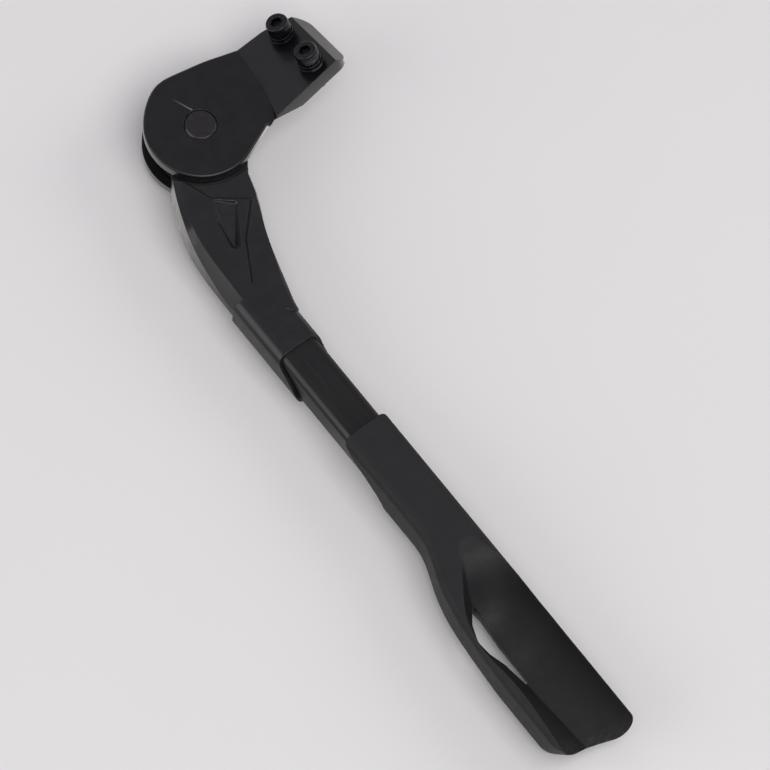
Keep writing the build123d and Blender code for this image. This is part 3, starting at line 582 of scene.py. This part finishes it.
# %% [markdown]
# ## Rings around an axis
#
# The CAD screws are plain cylinders of the right size. Real socket screws have a knurled head, a hex hole
# with a coned floor and a thread, and grub screws have the last two, so three pieces stand in for them. Each
# is a stack of rings around the screw's axis: a ring is one radius, or one radius for each angle, at one
# depth. The knurl and the hex are radii that change with the angle, and the thread is a radius that changes
# with the angle and the depth, so no boolean cuts are needed and every mesh is closed.

# %% Rings around an axis
SCREW_RADIUS = 2.5
THREAD_PITCH = 0.8
THREAD_DEPTH = 0.49
THREAD_STEPS = 8
THREAD_CREST = 0.12
THREAD_FLANK = 0.62
TIP_CHAMFER = 0.9
TIP_SLOPE = 0.8
MOUTH_RIM = 0.12
MOUTH_DEPTH = 0.18
FLOOR_EDGE_SHARE = 0.9
FLOOR_MIDDLE_SHARE = 0.15
FLOOR_STEP = 0.02
FLOOR_CONE = 0.5
SHARP_ANGLE = math.radians(32)


def ring(sides, radius, depth):
    """One ring of points in millimetres; the radius is a number, or a function of the angle."""
    angles = [2 * math.pi * i / sides for i in range(sides)]
    radii = [radius(a) if callable(radius) else radius for a in angles]
    return [(r * math.cos(a), r * math.sin(a), depth) for r, a in zip(radii, angles)]


def hexagon(flats):
    """The radius of a hexagon, given across its flats, at an angle."""
    return lambda angle: flats / 2 / math.cos(angle % (math.pi / 3) - math.pi / 6)


def held(value):
    """A value kept between 0 and 1."""
    return min(1.0, max(0.0, value))


def thread_radius(depth, end, start):
    """The radius of a right-handed thread at an angle: V-shaped grooves that run out at the start and tip."""
    tip = max(0.0, depth - end + TIP_CHAMFER)
    deep = THREAD_DEPTH * held((depth - start) / THREAD_PITCH)

    def radius(angle):
        phase = (depth / THREAD_PITCH - angle / (2 * math.pi)) % 1
        groove = held((abs(2 * phase - 1) - THREAD_CREST) / THREAD_FLANK)
        return min(SCREW_RADIUS - deep * groove, SCREW_RADIUS - TIP_SLOPE * tip)

    return radius


def thread(sides, start, end):
    """The rings of a thread from one depth to another."""
    count = round((end - start) / THREAD_PITCH * THREAD_STEPS)
    depths = [start + (end - start) * i / count for i in range(count + 1)]
    return [ring(sides, thread_radius(depth, end, start), depth) for depth in depths]


def hex_socket(sides, flats, depth):
    """The rings of a hex hole, from its countersunk mouth in a top at depth 0 to its coned floor."""
    return [
        ring(sides, flats / math.sqrt(3) + MOUTH_RIM, 0),
        ring(sides, hexagon(flats), MOUTH_DEPTH),
        ring(sides, hexagon(flats), depth),
        ring(sides, flats / 2 * FLOOR_EDGE_SHARE, depth + FLOOR_STEP),
        ring(sides, flats / 2 * FLOOR_MIDDLE_SHARE, depth + FLOOR_CONE),
    ]


def add_rings(mesh, rings, place):
    """Adds a closed stack of rings to a bmesh; place turns a ring's point into a point of the part."""
    loops = [[mesh.verts.new(place(*point)) for point in points] for points in rings]
    for low, high in zip(loops, loops[1:]):
        for i in range(len(low)):
            mesh.faces.new((low[i - 1], low[i], high[i], high[i - 1]))
    mesh.faces.new(loops[0])
    mesh.faces.new(loops[-1])


def finish_piece(mesh, name, finish, body, node):
    """Turns a bmesh into a smooth piece that rides on a body and stands in for a CAD node."""
    bmesh.ops.recalc_face_normals(mesh, faces=mesh.faces)
    data = bpy.data.meshes.new(name)
    mesh.to_mesh(data)
    mesh.free()
    data.polygons.foreach_set("use_smooth", [True] * len(data.polygons))
    data.set_sharp_from_angle(angle=SHARP_ANGLE)
    data.materials.append(finish)
    piece = bpy.data.objects.new(name, data)
    bpy.context.scene.collection.objects.link(piece)
    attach(piece, body)
    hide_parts(node)
    print(f"{name}: {len(data.vertices)} points, {len(data.polygons)} faces")


print("rings are ready")

# %% [markdown]
# ## Mounting screws
#
# The two screws stand along Y with their heads toward the viewer. Their depths start at the head's top,
# which the CAD node's box gives. The head is 8.5 mm wide with 42 knurls, four points to each. Its underside
# and its crown are turned, so they are pairs of an inset from the head's radius and a height or a depth.

# %% Mounting screws
HEAD_SIDES = 168
HEAD_RADIUS = 4.25
HEAD_HEIGHT = 5.0
HEAD_UNDERSIDE = ((0.3, 0), (0.18, 0.25))
HEAD_CROWN = ((0.18, 0.75), (0.22, 0.4), (0.36, 0.16), (0.6, 0.03), (0.8, 0))
KNURLS = 42
KNURL_DEPTH = 0.2
KNURL_TOP = 0.95
KNURL_RISE = 0.45
HEX_FLATS = 4.0
HEX_DEPTH = 2.6
SHANK_SIDES = 48
SHANK_INSET = 0.2
SHANK_IN_HEAD = 0.5


def knurl(angle):
    """The head's radius at an angle: a row of V-shaped grooves."""
    return HEAD_RADIUS - KNURL_DEPTH * abs(2 * (angle * KNURLS / (2 * math.pi) % 1) - 1)


head = [ring(HEAD_SIDES, SCREW_RADIUS - SHANK_INSET, HEAD_HEIGHT)]
head += [ring(HEAD_SIDES, HEAD_RADIUS - inset, HEAD_HEIGHT - rise) for inset, rise in HEAD_UNDERSIDE]
head += [ring(HEAD_SIDES, knurl, depth) for depth in (HEAD_HEIGHT - KNURL_RISE, KNURL_TOP)]
head += [ring(HEAD_SIDES, HEAD_RADIUS - inset, depth) for inset, depth in HEAD_CROWN]
head += hex_socket(HEAD_SIDES, HEX_FLATS, HEX_DEPTH)

screws_low, screws_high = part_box("mounting_screws")
screw_length = (screws_high[1] - screws_low[1]) * MM_PER_M
half_spacing = (screws_high[2] - screws_low[2]) / 2 - HEAD_RADIUS / MM_PER_M
shank = thread(SHANK_SIDES, HEAD_HEIGHT - SHANK_IN_HEAD, screw_length)


def along_y(height):
    """A function that turns a ring's point into a point of the mounting screw at a height."""

    def place(a, b, depth):
        return Vector((b / MM_PER_M, screws_low[1] + depth / MM_PER_M, height + a / MM_PER_M))

    return place


mesh = bmesh.new()
for height in (half_spacing, -half_spacing):
    add_rings(mesh, head, along_y(height))
    add_rings(mesh, shank, along_y(height))
finish_piece(mesh, "socket_screws", black_steel, "bracket_body", "mounting_screws")

# %% [markdown]
# ## Grub screw and set screw
#
# The grub screw clamps the tube in the socket and the set screw clamps the foot on the tube. Both lie along
# the pin's direction with their hex holes at the back, so their depths run from the back to the front. The
# CAD node's points, measured along the leg, give the middle and the two ends.

# %% Grub screw and set screw
GRUB_SIDES = 48
GRUB_HEX_FLATS = 2.5
GRUB_HEX_DEPTH = 2.0
GRUB_CHAMFER = 0.45
# Each row has the CAD node, its body and the name of the piece that stands in for it.
HEADLESS_SCREWS = (
    ("grub_screw", "leg_body", "tube_grub_screw"),
    ("set_screw", "foot_body", "foot_set_screw"),
)


def extent_on_leg(node):
    """The lowest and highest places of a CAD node along the leg's right, up and front, in millimetres."""
    places = [vertex.co - pivot for vertex in node.data.vertices]
    reaches = [[MM_PER_M * p.dot(d) for p in places] for d in leg_directions]
    return [min(reach) for reach in reaches], [max(reach) for reach in reaches]


def along_pin(lows, highs):
    """A function that turns a ring's point into a point of the screw between two corners on the leg."""

    def place(a, b, depth):
        return on_leg((lows[0] + highs[0]) / 2 + a, (lows[1] + highs[1]) / 2 + b, lows[2] + depth)

    return place


for node_name, body, name in HEADLESS_SCREWS:
    lows, highs = extent_on_leg(nodes[node_name])
    rings = thread(GRUB_SIDES, GRUB_CHAMFER, highs[2] - lows[2])[::-1]
    rings.append(ring(GRUB_SIDES, SCREW_RADIUS - GRUB_CHAMFER, 0))
    rings += hex_socket(GRUB_SIDES, GRUB_HEX_FLATS, GRUB_HEX_DEPTH)
    mesh = bmesh.new()
    add_rings(mesh, rings, along_pin(lows, highs))
    finish_piece(mesh, name, black_steel, body, node_name)

# %% [markdown]
# ## Table top
#
# The stand lies on a pale table on its inner side, so the table's top is square to the pin and just clears
# the lowest point behind the leg. One large square is enough, because the camera never sees its rim.

# %% Table top
TABLE_SIZE = 6.0
TABLE_GAP = 0.0005
TABLE_MIDDLE = (-10, -120, 0)
CORNER_SIGNS = ((-1, -1), (1, -1), (1, 1), (-1, 1))

lowest = min(vertex.co.dot(leg_front) for node in nodes.values() for vertex in node.data.vertices)
table_middle = on_leg(*TABLE_MIDDLE)
table_middle += (lowest - TABLE_GAP - table_middle.dot(leg_front)) * leg_front
corners = [table_middle + TABLE_SIZE / 2 * (a * leg_right - b * leg_down) for a, b in CORNER_SIGNS]
table_mesh = bpy.data.meshes.new("table_top")
table_mesh.from_pydata(corners, [], [(0, 1, 2, 3)])
table = bpy.data.objects.new("table_top", table_mesh)
bpy.context.scene.collection.objects.link(table)
print("table lies", round(lowest * MM_PER_M, 1), "mm along the leg's front")

# %% [markdown]
# ## Table finish
#
# Black paint shows what it mirrors, and in a picture on a bright table the sides of the leg mirror that
# table; the leg's own shadow would take this away. So what glossy rays see of the table is its colour without
# the shadow: brightest beside the upper leg, dimmer beside the foot and dimmest beside the socket, with a
# bright card at the right of the bracket that the plate's lower edge mirrors. The camera sees the table lit,
# with the shadow. Seen from behind, the top would hide the part, so its back is see-through.

# %% Table finish
TABLE_COLOUR = (0.8, 0.785, 0.77)
PAPER_CHANGE = 0.008
PAPER_CLOUDS = 60
# Fades start and end at places in metres from the pin, up the leg or to its right.
LEG_FADE = (-0.058, -0.02)
FOOT_FADE = (-0.11, -0.14)
FOOT_SHARE = 0.35
DIMMEST = 0.42
BRIGHTEST = 1.1
CARD_EXTRA = 2.0
CARD_LEFT = (0.02, 0.035)
CARD_RIGHT = (0.1, 0.085)
CARD_BOTTOM = (-0.06, -0.045)
CARD_TOP = (0.025, 0.01)

pale, tree, shader = new_finish("pale_table", TABLE_COLOUR, roughness=0.7)
place = leg_place(tree)
paper = [tuple(c + d for c in TABLE_COLOUR) for d in (-PAPER_CHANGE, PAPER_CHANGE)]
feed(tree, shader, base_color=mix(tree, noise(tree, place, PAPER_CLOUDS), *paper))

along = dot(tree, place, ALONG_LEG)
across = dot(tree, place, ALONG_RIGHT)
beside_leg = spread(tree, along, *LEG_FADE)
beside_foot = spread(tree, along, *FOOT_FADE, 0, FOOT_SHARE)
strength = spread(tree, reckon(tree, "ADD", beside_leg, beside_foot), 0, 1, DIMMEST, BRIGHTEST)
card_width = times(tree, spread(tree, across, *CARD_LEFT), spread(tree, across, *CARD_RIGHT))
card_height = times(tree, spread(tree, along, *CARD_BOTTOM), spread(tree, along, *CARD_TOP))
strength = reckon(tree, "MULTIPLY_ADD", times(tree, card_width, card_height), CARD_EXTRA, strength)
mirrored = add(tree, "ShaderNodeEmission")
mirrored.inputs["Color"].default_value = (*TABLE_COLOUR, 1)
tree.links.new(strength, mirrored.inputs["Strength"])

is_glossy = add(tree, "ShaderNodeLightPath").outputs["Is Glossy Ray"]
is_back = add(tree, "ShaderNodeNewGeometry").outputs["Backfacing"]
see_through = add(tree, "ShaderNodeBsdfTransparent").outputs["BSDF"]
top_side = either(tree, is_glossy, shader.outputs["BSDF"], mirrored.outputs["Emission"])
both_sides = either(tree, is_back, top_side, see_through)
tree.links.new(both_sides, tree.nodes["Material Output"].inputs["Surface"])
table_mesh.materials.append(pale)
print("table is pale from above and see-through from behind")

# %% [markdown]
# ## Light
#
# Black paint shows every lamp that it mirrors. The fronts mirror what is above the camera, the plate what is
# above the stand, and the scoop what lies in front and to the left. So the key is a soft box behind the
# camera, which hardly any face mirrors. A weak one at the left draws the band in the scoop, another at the
# right draws the right-hand edges, a dim card above lifts the plate, and the world is a dim, slightly cool
# room. Together they light the table to about its own colour.

# %% Light
# Each row has a name, a place along the camera's right, up and toward directions, a size and the watts.
LAMPS = (
    ("key_box", (0.6, 0.0, 2.3), 1.9, 31),
    ("left_box", (-1.4, -0.25, 0.9), 1.4, 9),
    ("right_box", (1.4, 0.77, 0.53), 0.9, 6),
    ("top_card", (-0.9, 1.75, 0.65), 2.0, 3),
)
ROOM_COLOUR = (0.91, 0.88, 1.0)
ROOM_STRENGTH = 0.3


def soft_box(name, place, size, watts):
    """A square lamp at a place in metres from the middle of the table, turned to face it."""
    lamp_data = bpy.data.lights.new(name, "AREA")
    lamp_data.size = size
    lamp_data.energy = watts
    lamp = bpy.data.objects.new(name, lamp_data)
    lamp.location = table_middle + place[0] * camera_right + place[1] * camera_up + place[2] * TOWARD_CAMERA
    lamp.rotation_euler = (lamp.location - table_middle).to_track_quat("Z", "Y").to_euler()
    bpy.context.scene.collection.objects.link(lamp)


for lamp in LAMPS:
    soft_box(*lamp)

world = bpy.data.worlds.new("studio")
bpy.context.scene.world = world
world.use_nodes = True
backdrop = world.node_tree.nodes["Background"]
backdrop.inputs["Color"].default_value = (*ROOM_COLOUR, 1)
backdrop.inputs["Strength"].default_value = ROOM_STRENGTH
print(len(LAMPS), "lamps and the world are set")

# %% [markdown]
# ## Picture settings and the end
#
# The Standard view keeps colours as they are written. The dressed part has to stay inside the CAD part's
# box.

# %% Picture settings and the end
bpy.context.scene.view_settings.view_transform = "Standard"
